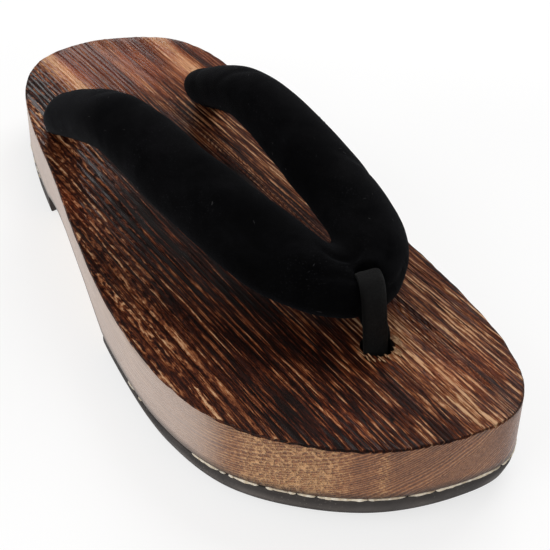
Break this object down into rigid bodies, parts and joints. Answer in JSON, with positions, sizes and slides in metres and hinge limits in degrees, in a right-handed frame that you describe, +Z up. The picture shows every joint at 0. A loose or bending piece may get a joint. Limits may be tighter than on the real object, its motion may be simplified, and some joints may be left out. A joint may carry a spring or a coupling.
{
  "type": "geta sandal",
  "caption": "Wooden flat-block sandal for the right foot with a scooped arch, two rubber sole pads, a padded V strap and a toe thong.",
  "frame": {"origin": "middle of the sandal's plan outline, on the surface that the rubber pads stand on", "axes": "+Z up, the toe points along -Y and the heel along +Y, +X is the big-toe (inner) side of a right foot"},
  "size_m": [0.1044, 0.27, 0.0661],
  "materials": {
    "scorched_wood": "scorched, wire-brushed and varnished, semi-gloss, with lighter varnished sides and a bare pale arch",
    "tread_rubber": "matte charcoal rubber with a fine studded tread",
    "strap_velvet": "matte black short-pile velvet over soft padding",
    "thong_band": "black satin-faced band, slightly glossier than the strap"
  },
  "bodies": {
    "root": {"wood_base": "scorched_wood", "forefoot_pad": "tread_rubber", "heel_pad": "tread_rubber", "strap_upper": "strap_velvet", "toe_thong": "thong_band"}
  },
  "joints": []
}
